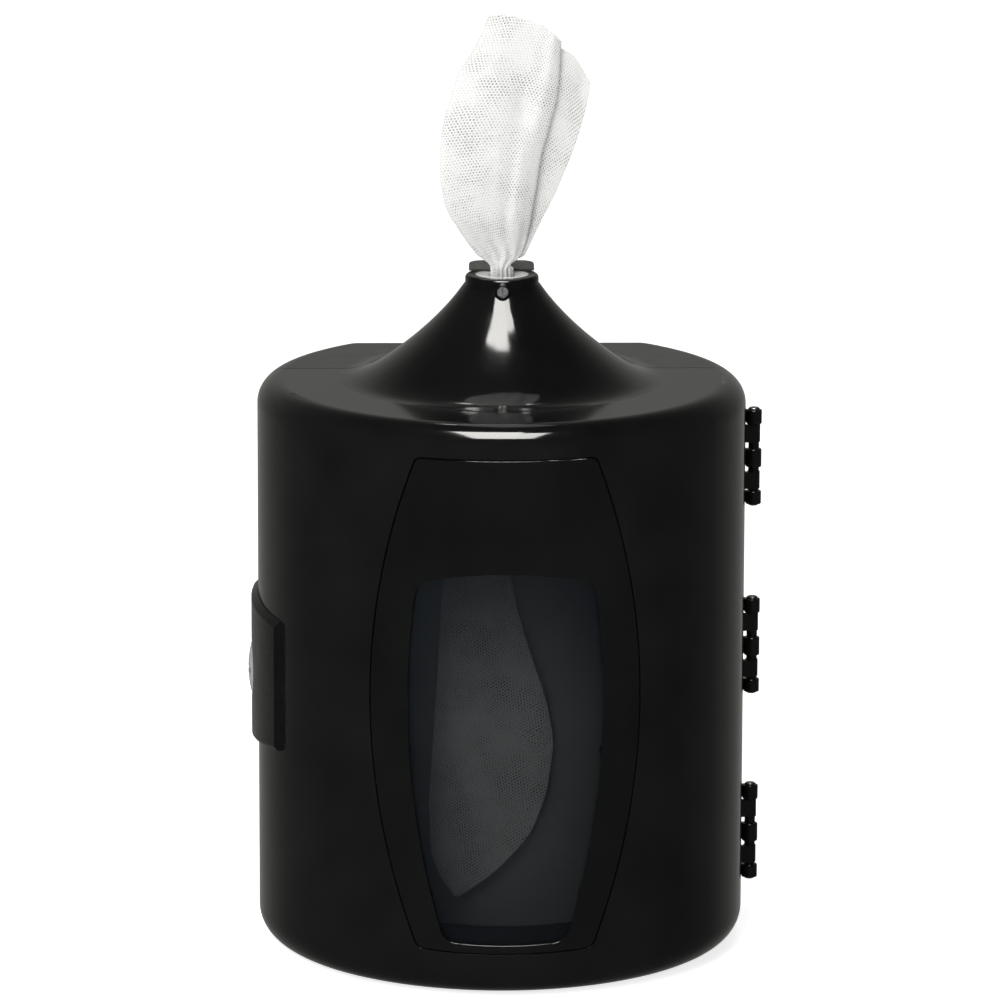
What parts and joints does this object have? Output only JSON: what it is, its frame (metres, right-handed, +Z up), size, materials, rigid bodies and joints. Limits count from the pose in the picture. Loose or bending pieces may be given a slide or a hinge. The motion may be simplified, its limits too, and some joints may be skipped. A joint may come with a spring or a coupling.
{
  "type": "wall-mounted wipes dispenser",
  "caption": "Black wall-mounted centre-pull wipes dispenser with a round hinged cover, smoked window, flared top nozzle and side quarter-turn lock.",
  "frame": {"origin": "centre of the four wall-screw holes, on the wall plane at the dispenser's back", "axes": "+Z up, +Y into the wall, -Y towards the user, +X to the user's right"},
  "size_m": [0.2543, 0.2024, 0.4645],
  "materials": {
    "cover_black": "polished black moulding",
    "housing_black": "polished black moulding",
    "panel_black": "polished black moulding",
    "pad_black": "polished black moulding",
    "collar_black": "polished black moulding",
    "lip_grey": "satin dark grey",
    "smoked_window": "clear smoked",
    "retainer_black": "moulded matte",
    "tray_black": "moulded matte",
    "orifice_white": "soft white moulding",
    "pin_black": "gloss black coated steel",
    "zinc_steel": "zinc plated",
    "screw_steel": "bright steel",
    "lock_grey": "satin nickel",
    "wipes_white": "perforated nonwoven"
  },
  "bodies": {
    "housing": {"rear_housing": "housing_black", "hinge_pins": "pin_black", "lock_strike": "zinc_steel", "strike_screws": "screw_steel", "roll_tray": "tray_black", "tray_screws": "screw_steel", "wipes_roll": "wipes_white", "wipe_lead": "wipes_white"},
    "cover": {"front_cover": "cover_black", "front_panel": "panel_black", "window_pane": "smoked_window", "window_retainer": "retainer_black", "panel_screws": "screw_steel", "nozzle_collar": "collar_black", "orifice_insert": "orifice_white", "nozzle_lip": "lip_grey", "nozzle_screw": "screw_steel", "lock_pad": "pad_black", "lock_sleeve": "zinc_steel", "lock_nut": "zinc_steel", "wipe_tail": "wipes_white"},
    "lock": {"lock_knob": "lock_grey", "lock_cam": "zinc_steel", "cam_screw": "screw_steel", "cam_washer": "screw_steel"}
  },
  "joints": [
    {"name": "cover_hinge", "type": "hinge", "parent": "housing", "child": "cover", "pos_m": [0.1254, -0.062, 0], "axis": [0, 0, 1], "range_deg": [0, 120]},
    {"name": "lock_turn", "type": "hinge", "parent": "cover", "child": "lock", "pos_m": [-0.1214, -0.082, -0.0143], "axis": [-1, 0, 0], "range_deg": [0, 90]}
  ]
}
